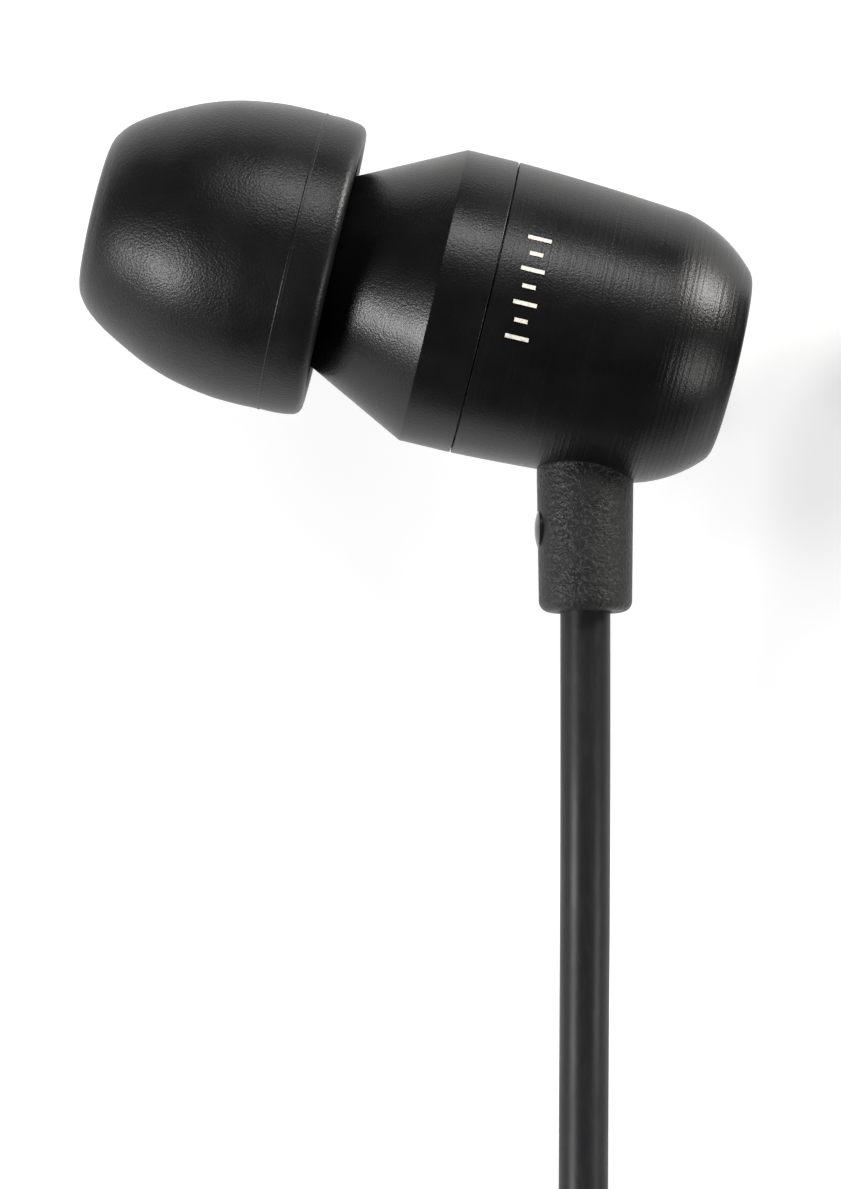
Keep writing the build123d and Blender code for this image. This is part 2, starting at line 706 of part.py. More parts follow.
def assemble():
    parts = {}
    local = {name: make() for name, make in EARPIECE.items()}
    for label, side in (("left", 1), ("right", -1)):
        place = lying(local, side)
        for name, solid in local.items():
            parts[f"{label}_{name}"] = place * solid
        exit_point = (place * boot_frame() * Pos(0, 0, BOOT_REACH)).position
        tip_way = (place * Pos(-1, 0, 0)).position - place.position
        print(f"{label}: cable exit {exit_point}, seam {place.position}, tip points along {tip_way}")
        (centre_x, centre_y), mean_radius = BRANCH_COIL
        section = coil_section(mean_radius, BRANCH_COLUMNS, BRANCH_LAYERS, BRANCH_DIAMETER, nested=False)
        parts[f"{label}_cable_coil"] = coil_ring((side * centre_x, centre_y), section)
        for name, points in BRANCH_ROUTES.items():
            route = [(side * x, y, z) for x, y, z in points]
            parts[f"{label}_{name}"] = cable_tube(f"{label}_{name}", route, BRANCH_DIAMETER)
    centre, mean_radius = MAIN_COIL
    section = coil_section(mean_radius, MAIN_COLUMNS, MAIN_LAYERS, MAIN_DIAMETER, nested=True)
    parts["main_cable_coil"] = coil_ring(centre, section)
    for name, points in MAIN_ROUTES.items():
        parts[name] = cable_tube(name, points, MAIN_DIAMETER)
    parts["splitter_upper_shell"], parts["splitter_lower_shell"] = splitter_shells()
    parts["cable_slider"] = cable_slider()
    for name, solid in plug_parts().items():
        parts[name] = plug_place() * solid
    return parts


def main():
    os.makedirs("parts", exist_ok=True)
    for name, solid in assemble().items():
        export_step(solid, f"parts/{name}.step")


main()
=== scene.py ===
from math import atan2, cos, pi, radians, sin, sqrt, tan

import bmesh
import bpy
from mathutils import Matrix, Vector


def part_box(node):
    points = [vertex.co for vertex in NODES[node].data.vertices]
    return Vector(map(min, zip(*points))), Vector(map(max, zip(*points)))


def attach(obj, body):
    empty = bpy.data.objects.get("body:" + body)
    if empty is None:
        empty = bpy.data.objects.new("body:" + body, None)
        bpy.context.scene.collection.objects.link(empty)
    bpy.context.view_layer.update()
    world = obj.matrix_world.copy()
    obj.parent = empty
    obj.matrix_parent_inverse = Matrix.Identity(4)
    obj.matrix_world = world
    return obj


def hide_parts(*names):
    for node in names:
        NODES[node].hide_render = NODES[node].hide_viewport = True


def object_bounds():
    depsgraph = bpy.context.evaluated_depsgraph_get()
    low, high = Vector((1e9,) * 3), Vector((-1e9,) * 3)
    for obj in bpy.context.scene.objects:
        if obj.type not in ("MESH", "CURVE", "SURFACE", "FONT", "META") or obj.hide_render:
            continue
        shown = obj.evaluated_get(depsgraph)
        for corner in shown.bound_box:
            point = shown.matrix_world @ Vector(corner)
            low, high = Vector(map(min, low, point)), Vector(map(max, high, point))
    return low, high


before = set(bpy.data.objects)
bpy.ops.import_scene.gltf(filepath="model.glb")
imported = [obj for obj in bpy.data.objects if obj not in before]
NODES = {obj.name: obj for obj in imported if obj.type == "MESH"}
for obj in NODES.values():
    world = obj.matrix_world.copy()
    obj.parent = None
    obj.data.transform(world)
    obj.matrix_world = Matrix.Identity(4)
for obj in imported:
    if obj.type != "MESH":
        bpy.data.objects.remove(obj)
CAD_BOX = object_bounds()
MM = 0.001

# ---- sizes of the visible pieces, in millimetres ---------------------------------------------
# Most are the CAD's.  The seam is half as wide, the raised dot is wider, and edges are rounded a
# little differently.
BOOT_LEAN = 13.25
TIP_UP = 2.2
SEAM_RADIUS = 6.14
BAND_LENGTH = 2.17
CONE_ANGLE = 26.5
FRONT_LENGTH = 7.65
SHOULDER_AT = 7.2
SHOULDER_RADIUS = 5.72
END_RADIUS = 3.86
END_AT = 10.40
END_CROWN = 0.25
SEAM_GAP = 0.05
SPIGOT_RADIUS = 5.45
SPIGOT_END = 1.2
SPIGOT_FIT = 0.02
DRIVER_BORE = 5.08
DRIVER_SEAT_AT = -2.3
DRIVER_SEAT_BORE = 4.23
CHAMBER_AT = -6.3
CHAMBER_END = -6.85
CHAMBER_RADIUS = 2.62
REAR_BORE_AT = 1.35
REAR_BORE = 5.40
TUBE_HOLE = 2.12
TIP_RADIUS = 6.25
TIP_RIM_AT = -6.40
TIP_LENGTH = 10.05
TIP_OPENING = 2.25
STEM_BORE = 2.56
STEM_WALL = 0.80
NOZZLE_FRONT = -13.30
PARTING_AT = -8.10
BOOT_AT = 4.25
BOOT_REACH = 11.62
BOOT_TOP_RADIUS = 1.99
BOOT_END_RADIUS = 1.915
BOOT_FLANGE_AT = 3.8
BOOT_FLANGE_END = 4.4
BOOT_FLANGE_RADIUS = 2.45
CABLE_FIT = 0.02
BRANCH_DIAMETER = 2.07
MAIN_DIAMETER = 2.40
MAGNET_MIDDLE = 0.90  # housing seam to the middle of the magnet
PRINT_AT = 1.42  # housing seam to the middle of the printed ticks
PRINT_THICKNESS = 0.035
TICK_COUNT = 7
TICK_FIRST = -2.35  # along the shell's round, from its top line
TICK_PITCH = 0.70
TICK_HALF_WIDTH = 0.08
LONG_TICK = 0.48
SHORT_TICK = 0.27
DOT_RADIUS = 0.85
DOT_RISE = 0.16
DOT_ROOT = 0.12
DOT_FROM_END = 3.4
DOT_SUNK = 0.06


# ---- node materials --------------------------------------------------------------------------

class Shader:
    """A Principled material, with short calls for the nodes that feed it."""

    def __init__(self, name):
        self.material = bpy.data.materials.new(name)
        self.material.use_nodes = True
        self.tree = self.material.node_tree
        self.tree.nodes.clear()
        self.out = self.tree.nodes.new("ShaderNodeOutputMaterial")
        self.bsdf = self.tree.nodes.new("ShaderNodeBsdfPrincipled")
        self.link(self.bsdf, "BSDF", self.out, "Surface")
        self.place = self.tree.nodes.new("ShaderNodeTexCoord")
        self.normal = None

    def link(self, a, output, b, socket):
        self.tree.links.new(a.outputs[output], b.inputs[socket])

    def set(self, **values):
        for socket, value in values.items():
            self.bsdf.inputs[socket.replace("_", " ")].default_value = value
        return self

    def noise(self, size, detail=2.0, roughness=0.5, stretch=(1, 1, 1), distortion=0.0):
        """A noise whose grains are about size metres across."""
        mapping = self.tree.nodes.new("ShaderNodeMapping")
        mapping.inputs["Scale"].default_value = stretch
        self.link(self.place, "Object", mapping, "Vector")
        node = self.tree.nodes.new("ShaderNodeTexNoise")
        node.inputs["Scale"].default_value = 1.0 / size
        node.inputs["Detail"].default_value = detail
        node.inputs["Roughness"].default_value = roughness
        node.inputs["Distortion"].default_value = distortion
        self.link(mapping, "Vector", node, "Vector")
        return node

    def along(self, axis, size, detail=3.0):
        """A noise that changes only along an axis: rings round a turned piece."""
        dot = self.tree.nodes.new("ShaderNodeVectorMath")
        dot.operation = "DOT_PRODUCT"
        dot.inputs[1].default_value = axis
        self.link(self.place, "Object", dot, 0)
        node = self.tree.nodes.new("ShaderNodeTexNoise")
        node.noise_dimensions = "1D"
        node.inputs["Scale"].default_value = 1.0 / size
        node.inputs["Detail"].default_value = detail
        self.link(dot, "Value", node, "W")
        return node

    def bump(self, node, height, strength=1.0):
        b = self.tree.nodes.new("ShaderNodeBump")
        b.inputs["Distance"].default_value = height
        b.inputs["Strength"].default_value = strength
        self.link(node, "Fac", b, "Height")
        if self.normal is not None:
            self.link(self.normal, "Normal", b, "Normal")
        self.normal = b
        self.link(b, "Normal", self.bsdf, "Normal")
        return self

    def colour(self, node, stops):
        ramp = self.tree.nodes.new("ShaderNodeValToRGB")
        elements = ramp.color_ramp.elements
        while len(elements) < len(stops):
            elements.new(0.5)
        for element, (at, value) in zip(elements, stops):
            element.position = at
            element.color = (*value, 1.0)
        self.link(node, "Fac", ramp, "Fac")
        self.link(ramp, "Color", self.bsdf, "Base Color")
        return self

    def rough(self, node, low, high):
        spread = self.tree.nodes.new("ShaderNodeMapRange")
        spread.inputs["From Min"].default_value = 0.3
        spread.inputs["From Max"].default_value = 0.7
        spread.inputs["To Min"].default_value = low
        spread.inputs["To Max"].default_value = high
        self.link(node, "Fac", spread, "Value")
        self.link(spread, "Result", self.bsdf, "Roughness")
        return self


def grey(value, blue=1.0):
    return (value, value, value * blue)


def silicone():
    s = Shader("silicone").set(Specular_IOR_Level=0.27)
    grain = s.noise(0.00010, detail=2.0, roughness=0.55)
    cloud = s.noise(0.0016, detail=3.0)
    s.colour(cloud, [(0.3, grey(0.0042, 1.12)), (0.7, grey(0.0066, 1.10))])
    s.rough(cloud, 0.33, 0.39)
    return s.bump(grain, 0.000026, 0.7).material


def housing(name, axis, turned):
    s = Shader(name).set(Specular_IOR_Level=0.27)
    grain = s.noise(0.00009, detail=2.0, roughness=0.55)
    cloud = s.noise(0.0022, detail=3.0)
    s.colour(cloud, [(0.3, grey(0.0028, 1.1)), (0.7, grey(0.0048, 1.06))])
    s.rough(cloud, 0.29, 0.35)
    s.bump(grain, 0.000018, 0.7)
    if turned:
        s.bump(s.along(axis, 0.00016, 4.0), 0.000022, 0.7)
    return s.material


def boot_rubber():
    s = Shader("boot_rubber").set(Specular_IOR_Level=0.33)
    grain = s.noise(0.00019, detail=2.0, roughness=0.6, distortion=0.6)
    cloud = s.noise(0.0012, detail=3.0)
    s.colour(cloud, [(0.3, grey(0.008)), (0.7, grey(0.014))])
    s.rough(cloud, 0.42, 0.52)
    return s.bump(grain, 0.00010, 0.9).material


def cable_jacket():
    s = Shader("cable_jacket").set(Specular_IOR_Level=0.18)
    streak = s.noise(0.0009, detail=4.0, roughness=0.6, stretch=(3.0, 0.55, 3.0))
    cloud = s.noise(0.0035, detail=3.0, stretch=(1.5, 0.5, 1.5))
    s.colour(streak, [
        (0.25, (0.011, 0.011, 0.013)),
        (0.55, (0.016, 0.0155, 0.0165)),
        (0.8, (0.024, 0.023, 0.022)),
    ])
    s.rough(cloud, 0.36, 0.48)
    return s.bump(s.noise(0.0006, detail=3.0), 0.00002, 0.5).material


def printed():
    s = Shader("printed").set(Roughness=0.6)
    s.colour(s.noise(0.00012, detail=2.0), [(0.30, (0.55, 0.50, 0.43)), (0.62, (0.80, 0.76, 0.69))])
    return s.material


def plain(name, low, high, roughness, size=0.0008, metallic=0.0, grain=0.0):
    """A moulded, plated or felted material: two close colours, clouded, with a fine grain."""
    s = Shader(name).set(Metallic=metallic)
    cloud = s.noise(size, detail=4.0)
    s.colour(cloud, [(0.3, low), (0.7, high)])
    s.rough(cloud, roughness - 0.05, roughness + 0.05)
    if grain > 0:
        s.bump(s.noise(0.00018, detail=2.0), grain, 0.8)
    return s.material


def show(name, material):
    """Gives a CAD node its material."""
    mesh = NODES[name].data
    mesh.materials.clear()
    mesh.materials.append(material)
    mesh.shade_smooth()
    mesh.set_sharp_from_angle(angle=radians(30))


# ---- outlines --------------------------------------------------------------------------------

def arc(start, middle, end, steps=24):
    """Points of the circle through three points, without its first."""
    (ax, ay), (bx, by), (cx, cy) = start, middle, end
    d = 2 * (ax * (by - cy) + bx * (cy - ay) + cx * (ay - by))
    a2, b2, c2 = ax * ax + ay * ay, bx * bx + by * by, cx * cx + cy * cy
    x = (a2 * (by - cy) + b2 * (cy - ay) + c2 * (ay - by)) / d
    y = (a2 * (cx - bx) + b2 * (ax - cx) + c2 * (bx - ax)) / d
    radius = sqrt((ax - x) ** 2 + (ay - y) ** 2)
    from_, mid, to = (atan2(py - y, px - x) for px, py in (start, middle, end))
    sweep = (to - from_) % (2 * pi)
    if (mid - from_) % (2 * pi) > sweep:
        sweep -= 2 * pi
    return [
        (x + radius * cos(from_ + sweep * i / steps), y + radius * sin(from_ + sweep * i / steps))
        for i in range(1, steps + 1)
    ]


def smooth(points, first, last, steps=14):
    """Points of a smooth curve through points, with its end directions, without its first."""
    made = []
    tangents = [Vector(first)]
    for before, after in zip(points, points[2:]):
        tangents.append((Vector(after) - Vector(before)).normalized())
    tangents.append(Vector(last))
    for i, (a, b) in enumerate(zip(points, points[1:])):
        a, b = Vector(a), Vector(b)
        reach = (b - a).length
        for k in range(1, steps + 1):
            t = k / steps
            h = (2 * t**3 - 3 * t**2 + 1, t**3 - 2 * t**2 + t, 3 * t**2 - 2 * t**3, t**3 - t**2)
            p = h[0] * a + h[1] * reach * tangents[i].normalized()
            p += h[2] * b + h[3] * reach * tangents[i + 1].normalized()
            made.append((p.x, p.y))
    return made


def rounded(points, corners, steps=6):
    """The closed outline with the named corners rounded: {index: radius}."""
    made = []
    count = len(points)
    for i, p in enumerate(points):
        p = Vector(p)
        if i not in corners:
            made.append(tuple(p))
            continue
        a = (Vector(points[i - 1]) - p).normalized()
        b = (Vector(points[(i + 1) % count]) - p).normalized()
        half = a.angle(b) / 2
        reach = corners[i] / tan(half)
        centre = p + (a + b).normalized() * (corners[i] / sin(half))
        start, end = p + a * reach, p + b * reach
        made.append(tuple(start))
        middle = centre + (p - centre).normalized() * corners[i]
        made.extend(arc(tuple(start), tuple(middle), tuple(end), steps))
    return made


def lathe(name, outline, place, segments=288):
    """Turns a closed outline, in millimetres, about the X axis of place."""
    mesh = bpy.data.meshes.new(name)
    work = bmesh.new()
    rings = []
    for x, r in outline:
        if r < 1e-6:
            rings.append([work.verts.new(place @ Vector((x * MM, 0, 0)))])
            continue
        rings.append([
            work.verts.new(place @ Vector((x * MM, r * MM * cos(a), r * MM * sin(a))))
            for a in (2 * pi * k / segments for k in range(segments))
        ])
    for low, high in zip(rings, rings[1:] + rings[:1]):
        for k in range(segments):
            n = (k + 1) % segments
            corners = [low[k % len(low)], high[k % len(high)], high[n % len(high)], low[n % len(low)]]
            corners = list(dict.fromkeys(corners))
            if len(corners) > 2:
                work.faces.new(corners)
    bmesh.ops.recalc_face_normals(work, faces=work.faces)
    work.to_mesh(mesh)
    work.free()
    mesh.shade_smooth()
    mesh.set_sharp_from_angle(angle=radians(28))
    made = bpy.data.objects.new(name, mesh)
    bpy.context.scene.collection.objects.link(made)
    return made


def tip_outline():
    rim, lip, stem = TIP_RIM_AT, TIP_RIM_AT - TIP_LENGTH, STEM_BORE + STEM_WALL
    bell = [
        (rim - 0.30, TIP_RADIUS - 0.13),
        (rim - 1.00, TIP_RADIUS - 0.035),
        (PARTING_AT + 0.05, TIP_RADIUS - 0.03),
    ]
    out = [bell[0], *smooth(bell, (-1, 0.25), (-1, 0.02), 6)]
    out += [(PARTING_AT + 0.02, TIP_RADIUS), (PARTING_AT - 0.05, TIP_RADIUS + 0.005)]
    dome = [
        (PARTING_AT - 0.09, TIP_RADIUS - 0.018),
        (rim - 2.60, TIP_RADIUS - 0.005),
        (rim - 3.74, TIP_RADIUS - 0.050),
        (rim - 5.38, TIP_RADIUS - 0.320),
        (rim - 6.70, TIP_RADIUS - 0.750),
        (rim - 7.84, TIP_RADIUS - 1.290),
        (rim - 8.70, TIP_RADIUS - 1.760),
        (rim - 9.30, TIP_RADIUS - 2.180),
        (lip + 0.36, TIP_RADIUS - 2.560),
    ]
    out += [dome[0], *smooth(dome, (-1, 0.01), (-0.62, -0.78), 8)]
    front = [
        (lip + 0.36, TIP_RADIUS - 2.56),
        (lip + 0.10, TIP_OPENING + 1.05),
        (lip, TIP_OPENING + 0.62),
        (lip + 0.10, TIP_OPENING + 0.26),
        (lip + 0.42, TIP_OPENING + 0.04),
    ]
    out += smooth(front, (-0.6, -0.8), (0.97, -0.2), 6)
    out += [
        (lip + 0.80, TIP_OPENING),
        (NOZZLE_FRONT - 0.45, TIP_OPENING),
        (NOZZLE_FRONT - 0.45, STEM_BORE),
        (-FRONT_LENGTH - 0.35, STEM_BORE),
        (-FRONT_LENGTH - 0.35, stem),
        (lip + 3.6, stem),
    ]
    inside = [
        (lip + 3.6, stem),
        (rim - 5.30, TIP_RADIUS - 1.22),
        (rim - 0.10, TIP_RADIUS - 0.85),
    ]
    out += smooth(inside, (0.35, 1), (1, -0.02), 14)
    edge = arc(inside[-1], (rim, TIP_RADIUS - 0.42), bell[0], 10)
    out += edge[:-1]
    return out


def front_outline():
    face = SEAM_RADIUS - (FRONT_LENGTH - BAND_LENGTH) * tan(radians(CONE_ANGLE))
    points = [
        (-FRONT_LENGTH, TUBE_HOLE),
        (-FRONT_LENGTH, face),
        (-BAND_LENGTH, SEAM_RADIUS),
        (-SEAM_GAP / 2, SEAM_RADIUS),
        (-SEAM_GAP / 2, SPIGOT_RADIUS),
        (SPIGOT_END, SPIGOT_RADIUS),
        (SPIGOT_END, DRIVER_BORE),
        (DRIVER_SEAT_AT, DRIVER_BORE),
        (DRIVER_SEAT_AT, DRIVER_SEAT_BORE),
        (CHAMBER_AT, CHAMBER_RADIUS),
        (CHAMBER_END, CHAMBER_RADIUS),
        (CHAMBER_END, TUBE_HOLE),
    ]
    return rounded(points, {1: 0.20, 2: 0.16, 3: 0.055})


def rear_outline(seam_edge=0.022, corner=0.30, wall=0.70):
    end = END_AT
    middle = ((SHOULDER_AT + end) / 2 + 0.25, (SHOULDER_RADIUS + END_RADIUS) / 2 + 0.22)
    side = [(SEAM_GAP / 2 + seam_edge, SEAM_RADIUS)]
    swell = (SHOULDER_AT / 2, (SEAM_RADIUS + SHOULDER_RADIUS) / 2 + 0.055)
    side += arc(side[0], swell, (SHOULDER_AT, SHOULDER_RADIUS), 20)
    shoulder = arc(side[-1], middle, (end, END_RADIUS), 48)
    crown = (END_RADIUS**2 + END_CROWN**2) / (2 * END_CROWN)
    away = END_RADIUS / crown
    face = [
        (end + END_CROWN - crown * (1 - cos(away * (1 - k / 10))), crown * sin(away * (1 - k / 10)))
        for k in range(1, 11)
    ]
    keep = [p for p in shoulder if (p[0] - end) ** 2 + (p[1] - END_RADIUS) ** 2 > corner**2]
    flat = [p for p in face if (p[0] - end) ** 2 + (p[1] - END_RADIUS) ** 2 > corner**2]
    bend = arc(keep[-1], (end - 0.035, END_RADIUS + 0.005), flat[0], 10)
    outer = side + keep + bend + flat[1:]
    outer[-1] = (end + END_CROWN, 0)
    inner = [
        (end - wall, 0),
        (end - wall, END_RADIUS - wall * 0.6),
        (SHOULDER_AT - wall / 2, SHOULDER_RADIUS - wall),
        (REAR_BORE_AT, REAR_BORE),
        (REAR_BORE_AT, SPIGOT_RADIUS + SPIGOT_FIT),
        (SEAM_GAP / 2, SPIGOT_RADIUS + SPIGOT_FIT),
        (SEAM_GAP / 2, SEAM_RADIUS - seam_edge),
    ]
    return outer + inner


def boot_outline():
    points = [
        (BOOT_FLANGE_AT, BRANCH_DIAMETER / 2 + CABLE_FIT),
        (BOOT_FLANGE_AT, BOOT_FLANGE_RADIUS),
        (BOOT_FLANGE_END, BOOT_FLANGE_RADIUS),
        (BOOT_FLANGE_END, BOOT_TOP_RADIUS),
        (SEAM_RADIUS, BOOT_TOP_RADIUS),
        (BOOT_REACH, BOOT_END_RADIUS),
        (BOOT_REACH, BRANCH_DIAMETER / 2 + CABLE_FIT),
    ]
    return rounded(points, {5: 0.46, 6: 0.05}, 8)


# ---- where each earpiece lies ----------------------------------------------------------------

def earpiece_place(label, side):
    """Local X is the housing axis, with 0 at the seam, as the magnet's middle shows it."""
    heading = Matrix.Rotation(radians(90 - side * (90 + BOOT_LEAN)), 4, "Z")
    turn = heading @ Matrix.Rotation(radians(TIP_UP), 4, "Y")
    turn = turn @ Matrix.Rotation(radians(90 - side * 90), 4, "X")
    low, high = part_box(f"{label}_magnet")
    seam = (low + high) / 2 - turn @ Vector((MAGNET_MIDDLE * MM, 0, 0))
    return Matrix.Translation(seam) @ turn


def boot_place(place):
    """Local X runs down the strain relief from the housing axis; local Y points at the tip side."""
    lean = radians(BOOT_LEAN)
    along = Vector((sin(lean), -cos(lean), 0))
    across = Vector((-cos(lean), -sin(lean), 0))
    up = along.cross(across)
    local = Matrix((along, across, up)).transposed().to_4x4()
    local.translation = Vector((BOOT_AT * MM, 0, 0))
    return place @ local


def side_mark(name, place):
    """A generic printed row of long and short ticks, wrapped on the rear shell."""
    work = bmesh.new()
    radius = SEAM_RADIUS - PRINT_THICKNESS

    def patch(u0, u1, v0, v1):
        steps = max(2, int(abs(v1 - v0) / 0.06))
        rows = []
        for k in range(steps + 1):
            a = (v0 + (v1 - v0) * k / steps) / SEAM_RADIUS
            rows.append([
                work.verts.new(place @ Vector(((PRINT_AT + u) * MM, -sin(a) * r * MM, cos(a) * r * MM)))
                for u, r in ((u0, SEAM_RADIUS), (u1, SEAM_RADIUS), (u1, radius), (u0, radius))
            ])
        for low, high in zip(rows, rows[1:]):
            for i in range(4):
                j = (i + 1) % 4
                work.faces.new([low[i], low[j], high[j], high[i]])
        work.faces.new(rows[0])
        work.faces.new(rows[-1][::-1])

    for k in range(TICK_COUNT):
        v = TICK_FIRST + k * TICK_PITCH
        half = SHORT_TICK if k % 2 else LONG_TICK
        patch(-half, half, v - TICK_HALF_WIDTH, v + TICK_HALF_WIDTH)
    bmesh.ops.remove_doubles(work, verts=work.verts, dist=1e-8)
    bmesh.ops.recalc_face_normals(work, faces=work.faces)
    mesh = bpy.data.meshes.new(name)
    work.to_mesh(mesh)
    work.free()
    made = bpy.data.objects.new(name, mesh)
    bpy.context.scene.collection.objects.link(made)
    return made


def raised_dot(name, place):
    """The small glossy raised dot on the side of the strain relief."""
    sphere = (DOT_RADIUS**2 + DOT_RISE**2) / (2 * DOT_RISE)
    away = DOT_RADIUS / sphere
    outline = [(-DOT_ROOT, 0.0)]
    for k in range(11):
        a = away * k / 10
        outline.append((DOT_RISE - sphere * (1 - cos(a)), sphere * sin(a)))
    outline.append((-DOT_ROOT, DOT_RADIUS))
    turn = Matrix.Rotation(pi / 2, 4, "Z")
    turn.translation = Vector(((BOOT_REACH - DOT_FROM_END) * MM, (BOOT_TOP_RADIUS - DOT_SUNK) * MM, 0))
    return lathe(name, outline, place @ turn, 48)


# ---- materials -------------------------------------------------------------------------------
TIP_MATERIAL = silicone()
BOOT_MATERIAL = boot_rubber()
CABLE_MATERIAL = cable_jacket()
PRINT_MATERIAL = printed()
GLOSS_MATERIAL = plain("gloss_rubber", grey(0.010), grey(0.016), 0.18)
INNER = {
    "nozzle_mesh": plain("steel_mesh", grey(0.32), grey(0.42), 0.35, metallic=1.0),
    "nozzle_damper": plain(
        "foam_damper", (0.62, 0.60, 0.55), (0.75, 0.73, 0.68), 0.9, 0.0003, grain=0.0001),
    "driver_gasket": plain("gasket_foam", grey(0.03), grey(0.05), 0.9, 0.0003, grain=0.0001),
    "driver_cover": plain("plated_steel", grey(0.45), grey(0.60), 0.30, metallic=1.0),
    "driver_frame": plain("driver_plastic", grey(0.03), grey(0.05), 0.5, grain=0.00002),
    "diaphragm": plain("polyester_film", (0.50, 0.45, 0.36), (0.60, 0.55, 0.46), 0.25),
    "voice_coil": plain("enamelled_copper", (0.55, 0.20, 0.09), (0.75, 0.32, 0.16), 0.35, 0.0002, 1.0),
    "pole_plate": plain("pole_steel", grey(0.50), grey(0.62), 0.35, metallic=1.0),
    "magnet": plain("nickel_plate", (0.58, 0.56, 0.52), (0.68, 0.66, 0.62), 0.20, metallic=1.0),
    "yoke": plain("yoke_steel", grey(0.42), grey(0.55), 0.38, metallic=1.0),
    "rear_felt": plain("felt", (0.60, 0.58, 0.54), (0.72, 0.70, 0.66), 0.95, 0.0002, grain=0.0001),
    "terminal_board": plain("printed_board", (0.01, 0.12, 0.05), (0.02, 0.18, 0.07), 0.45),
    "cable_ferrule": plain("crimp_brass", (0.55, 0.38, 0.14), (0.68, 0.50, 0.22), 0.35, metallic=1.0),
}
MOULDED = plain("moulded_black", grey(0.010, 1.05), grey(0.016, 1.05), 0.42, 0.0015, grain=0.00003)
GOLD = plain("gold_plate", (0.80, 0.55, 0.20), (0.90, 0.66, 0.28), 0.16, 0.0012, 1.0)
INSULATOR = plain("insulator", grey(0.012), grey(0.020), 0.40)


def build_earpiece(label, side):
    """The turned outside pieces of an earpiece, and the materials of the CAD pieces inside."""
    place = earpiece_place(label, side)
    stem = boot_place(place)
    axis = (place.to_3x3() @ Vector((1, 0, 0))).normalized()
    front = housing(f"{label}_front_housing", axis, False)
    rear = housing(f"{label}_rear_housing", axis, True)
    made = {
        "ear_tip": (lathe(f"{label}_tip_bell", tip_outline(), place), TIP_MATERIAL, "silicone"),
        "front_shell": (lathe(f"{label}_front_cone", front_outline(), place), front, "housing"),
        "rear_shell": (lathe(f"{label}_rear_cup", rear_outline(), place), rear, "housing"),
        "strain_relief": (
            lathe(f"{label}_boot", boot_outline(), stem, 192), BOOT_MATERIAL, "boot_rubber"),
    }
    for node, (piece, material, slot) in made.items():
        piece.data.materials.append(material)
        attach(piece, f"{label}_tip" if node == "ear_tip" else "assembly")
        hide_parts(f"{label}_{node}")
    mark = side_mark(f"{label}_side_mark", place)
    mark.data.materials.append(PRINT_MATERIAL)
    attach(mark, "assembly")
    dot = raised_dot(f"{label}_boot_dot", stem)
    dot.data.materials.append(GLOSS_MATERIAL)
    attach(dot, "assembly")
    show(f"{label}_nozzle", front)
    for node, material in INNER.items():
        show(f"{label}_{node}", material)


# ---- cables ----------------------------------------------------------------------------------

def coil_points(centre, start, way, turns, lays, count=18):
    """Control points of a coil's turns: turn k lies at lays[k] = (radius, height).

    The line leaves one lay for the next over the last quarter of a turn.
    """
    made = []
    total = int(round(turns * count))
    out = 1 / cos(pi / count)
    for i in range(1, total):
        at = i / count
        turn = min(int(at), len(lays) - 1)
        (radius, height), part = lays[turn], at - turn
        if turn + 1 < len(lays) and part > 0.75:
            mix = (part - 0.75) / 0.25
            mix = mix * mix * (3 - 2 * mix)
            radius += (lays[turn + 1][0] - radius) * mix
            height += (lays[turn + 1][1] - height) * mix
        angle = start + way * 2 * pi * at
        made.append((centre[0] + radius * out * cos(angle), centre[1] + radius * out * sin(angle), height))
    return made


def cable(name, points, diameter):
    curve = bpy.data.curves.new(name, "CURVE")
    curve.dimensions = "3D"
    curve.bevel_depth = diameter / 2 * MM
    curve.bevel_resolution = 8
    curve.resolution_u = 8
    spline = curve.splines.new("NURBS")
    spline.points.add(len(points) - 1)
    for point, (x, y, z) in zip(spline.points, points):
        point.co = (x * MM, y * MM, z * MM, 1)
    spline.order_u = 3
    spline.use_endpoint_u = True
    curve.materials.append(CABLE_MATERIAL)
    made = bpy.data.objects.new(name, curve)
    bpy.context.scene.collection.objects.link(made)
    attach(made, "assembly")
    return made


# The route's points, as in the CAD.  The right branch mirrors the left one.
BRANCH_START = [
    (-9.12, -1.52, 5.96),
    (-9.12, -16.50, 5.83),
    (-9.10, -30.80, 1.75),
    (-9.12, -38.20, 1.08),
    (-5.30, -45.80, 1.04),
    (-5.13, -52.00, 1.04),
]
BRANCH_END = [
    (-5.13, -52.00, 3.10),
    (-5.01, -57.40, 2.95),
    (-1.45, -64.80, 2.40),
    (-1.33, -74.60, 2.31),
    (-1.31, -84.20, 2.30),
]
BRANCH_COIL = ((-16.97, -52.0), 10.8)
MAIN_START = [
    (0.00, -92.00, 2.30),
    (0.01, -100.00, 2.29),
    (-3.63, -106.20, 1.60),
    (-9.83, -109.80, 1.25),
    (-16.20, -109.90, 1.20),
    (-20.50, -109.85, 1.20),
]
MAIN_END = [
    (-33.70, -95.45, 7.43),
    (-33.60, -89.40, 7.48),
    (-33.75, -83.20, 5.50),
    (-33.68, -77.40, 3.21),
    (-33.70, -71.80, 3.20),
]
MAIN_COIL = ((-20.5, -95.45), 12.0)


def branch_points(side):
    low, high = BRANCH_DIAMETER / 2, BRANCH_DIAMETER * 1.5
    centre, mean = BRANCH_COIL
    wide, narrow = mean + low, mean - low
    lays = [(wide, low), (narrow, low), (narrow, high), (wide, high)]
    points = BRANCH_START + coil_points(centre, 0, -1, 4, lays) + BRANCH_END
    return [(side * x, y, z) for x, y, z in points]


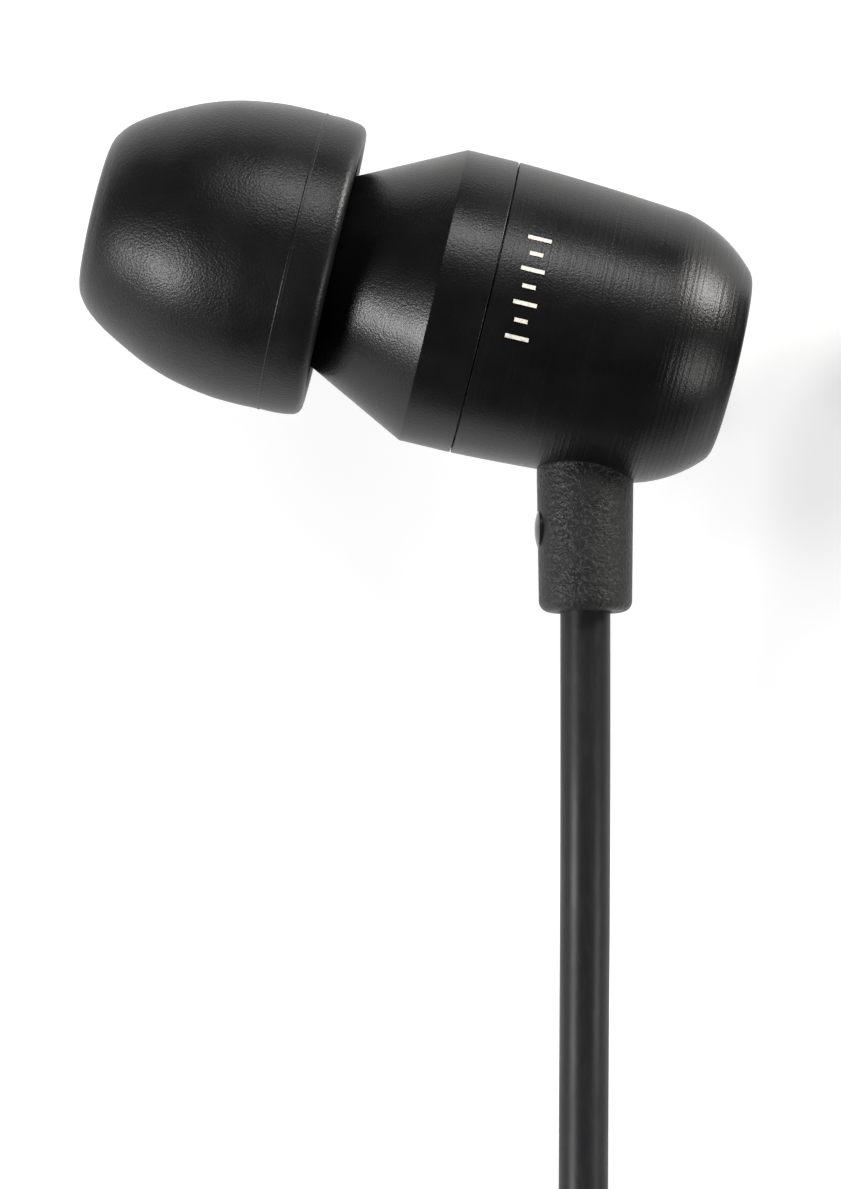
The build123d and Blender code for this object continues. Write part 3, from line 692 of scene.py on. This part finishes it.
def main_points():
    d, rise = MAIN_DIAMETER, MAIN_DIAMETER * sqrt(3) / 2
    centre, mean = MAIN_COIL
    lays = []
    for layer, places in enumerate(((1, 0, -1), (-0.5, 0.5), (1, 0, -1), (-0.5, 0.5))):
        lays += [(mean + d * k, d / 2 + rise * layer) for k in places]
    return MAIN_START + coil_points(centre, -pi / 2, -1, 9.25, lays) + MAIN_END


build_earpiece("left", 1)
build_earpiece("right", -1)
for name in ("splitter_upper_shell", "splitter_lower_shell", "cable_slider", "plug_grip"):
    show(name, MOULDED)
show("plug_relief", BOOT_MATERIAL)
for name in ("plug_tip", "plug_ring", "plug_sleeve"):
    show(name, GOLD)
for name in ("plug_front_insulator", "plug_rear_insulator"):
    show(name, INSULATOR)

left = cable("left_branch", branch_points(1), BRANCH_DIAMETER)
right = cable("right_branch", branch_points(-1), BRANCH_DIAMETER)
main_lead = cable("main_lead", main_points(), MAIN_DIAMETER)
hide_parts("left_cable", "left_cable_coil", "left_cable_end")
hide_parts("right_cable", "right_cable_coil", "right_cable_end")
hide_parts("main_cable", "main_cable_coil", "main_cable_end")


# ---- floor, light and camera -----------------------------------------------------------------

def floor():
    s = Shader("pale_floor").set(Roughness=0.9, Specular_IOR_Level=0.1, Emission_Strength=0.64)
    s.set(Emission_Color=(1, 1, 1, 1))
    s.colour(s.noise(0.05, detail=2.0), [(0.3, grey(0.54)), (0.7, grey(0.56))])
    bpy.ops.mesh.primitive_plane_add(size=3, location=(0, 0, CAD_BOX[0][2] - 0.00002))
    made = bpy.context.object
    made.name = "floor"
    made.data.materials.append(s.material)


def softbox(name, direction, size, power, colour=(1, 1, 1)):
    """An area light that faces the left earpiece from a direction."""
    light = bpy.data.lights.new(name, "AREA")
    light.shape = "RECTANGLE"
    light.size, light.size_y = size
    light.energy = power
    light.color = colour
    made = bpy.data.objects.new(name, light)
    way = Vector(direction).normalized()
    made.location = SUBJECT + way * LIGHT_DISTANCE
    made.rotation_euler = way.to_track_quat("Z", "Y").to_euler()
    bpy.context.scene.collection.objects.link(made)


low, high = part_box("left_rear_shell")
SUBJECT = (low + high) / 2
LIGHT_DISTANCE = 0.45
floor()
softbox("top_box", (0.165, 0.66, 0.74), (0.20, 0.10), 1.15)
softbox("left_box", (-0.80, -0.34, 0.50), (0.13, 0.13), 2.00)
softbox("right_box", (0.84, 0.50, 0.28), (0.14, 0.20), 2.70, (1.0, 0.975, 0.94))
softbox("low_box", (0.80, -0.42, 0.42), (0.14, 0.14), 0.70, (1.0, 0.99, 0.97))
world = bpy.data.worlds.new("studio")
bpy.context.scene.world = world
world.use_nodes = True
background = world.node_tree.nodes["Background"]
background.inputs["Color"].default_value = (1, 1, 1, 1)
background.inputs["Strength"].default_value = 0.05

VIEW_TILT = 5.0  # degrees from straight down
VIEW_DISTANCE = 0.160
VIEW_LENS = 118.05
SEAM_TO_TARGET = (-0.002647, -0.01189, 0)
target = earpiece_place("left", 1).translation + Vector(SEAM_TO_TARGET)
camera_data = bpy.data.cameras.new("camera")
camera_data.sensor_fit = "VERTICAL"
camera_data.sensor_height = 36.0
camera_data.lens = VIEW_LENS
camera_data.clip_start = 0.01
camera = bpy.data.objects.new("camera", camera_data)
tilt = radians(VIEW_TILT)
camera.location = target + Vector((0, -sin(tilt), cos(tilt))) * VIEW_DISTANCE
camera.rotation_euler = (tilt, 0, 0)
bpy.context.scene.collection.objects.link(camera)
bpy.context.scene.camera = camera
bpy.context.scene.view_settings.view_transform = "Standard"
